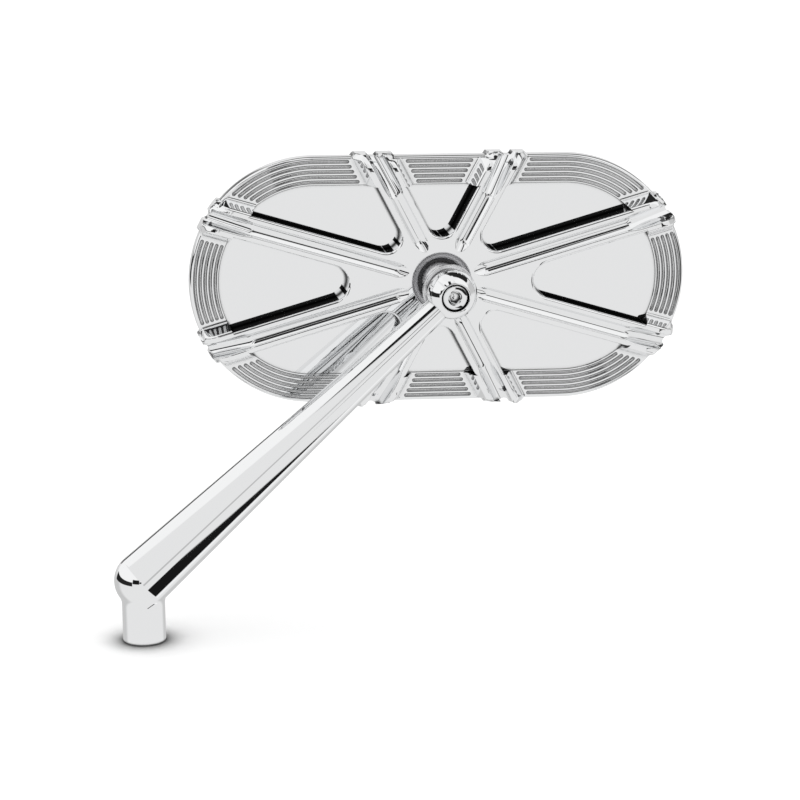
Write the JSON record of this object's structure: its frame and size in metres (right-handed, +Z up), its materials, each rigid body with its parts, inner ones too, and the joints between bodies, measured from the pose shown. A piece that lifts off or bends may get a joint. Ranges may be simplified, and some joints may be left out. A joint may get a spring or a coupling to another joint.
{
  "type": "motorcycle mirror",
  "caption": "Stadium-shaped motorcycle mirror head with a spoked, fluted and grooved back, on a ball joint at the end of a tapered bent stem with a threaded stub.",
  "frame": {"origin": "middle of the stub's base, at the mouth of the threaded hole", "axes": "+Z up the stub, the arm leans towards +X, the back of the head faces -Y and the glass +Y"},
  "size_m": [0.1716, 0.045, 0.1334],
  "materials": {
    "bright_chrome": "polished chrome plate",
    "satin_steel": "satin, turned",
    "plain_steel": "zinc plated",
    "liner_plastic": "moulded, self-oiling",
    "foam_tape": "closed-cell foam, sticky both sides",
    "silvered_glass": "silvered flat glass"
  },
  "bodies": {
    "stem": {"stem": "bright_chrome", "clamp_screw": "bright_chrome", "lock_washer": "plain_steel"},
    "stud": {"ball_stud": "satin_steel"},
    "liner": {"ball_liner_rear": "liner_plastic", "ball_liner_front": "liner_plastic"},
    "head": {"housing": "bright_chrome", "pressure_ring": "liner_plastic", "disc_spring": "plain_steel", "retainer_plate": "plain_steel", "retainer_screws": "plain_steel", "adhesive_pad": "foam_tape", "mirror_glass": "silvered_glass"}
  },
  "joints": [
    {"name": "head_roll", "type": "hinge", "parent": "stem", "child": "stud", "pos_m": [0.0913, 0.01835, 0.0959], "axis": [0, -1, 0], "range_deg": [-20, 20]},
    {"name": "head_tilt", "type": "hinge", "parent": "stud", "child": "liner", "pos_m": [0.0913, 0.01835, 0.0959], "axis": [0.9979, -0.0547, -0.0348], "range_deg": [-5, 18]},
    {"name": "head_pan", "type": "hinge", "parent": "liner", "child": "head", "pos_m": [0.0913, 0.01835, 0.0959], "axis": [0.0385, 0.0678, 0.997], "range_deg": [-18, 5]}
  ]
}
